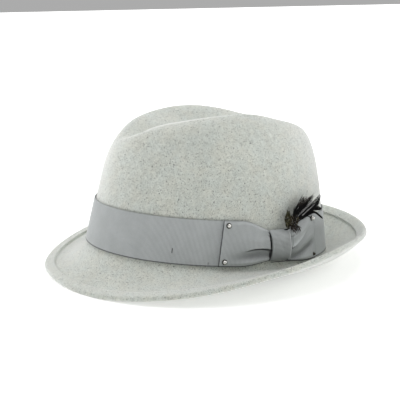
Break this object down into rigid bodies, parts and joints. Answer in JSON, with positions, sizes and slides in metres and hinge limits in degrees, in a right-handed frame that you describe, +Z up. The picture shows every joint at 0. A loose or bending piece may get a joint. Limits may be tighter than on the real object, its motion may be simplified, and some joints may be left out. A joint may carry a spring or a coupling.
{
  "type": "felt trilby hat",
  "caption": "Pale grey felt trilby with a teardrop crown, welted snap brim, grosgrain band, flat studded bow and a small barred feather.",
  "frame": {"origin": "middle of the footprint, on the surface the hat stands on", "axes": "+Z up, the hat's front towards -Y, the wearer's left with the bow towards +X"},
  "size_m": [0.2648, 0.2742, 0.1262],
  "materials": {
    "felt": "matt melange wool felt",
    "ribbon": "ribbed grosgrain",
    "stud_metal": "polished",
    "feather": "barred feather, dark brown and black"
  },
  "bodies": {
    "root": {"felt_body": "felt", "hat_band": "ribbon", "bow_front_tab": "ribbon", "bow_back_tab": "ribbon", "bow_knot": "ribbon", "bow_stud_1": "stud_metal", "bow_stud_2": "stud_metal", "bow_stud_3": "stud_metal", "bow_stud_4": "stud_metal", "feather": "feather"}
  },
  "joints": []
}
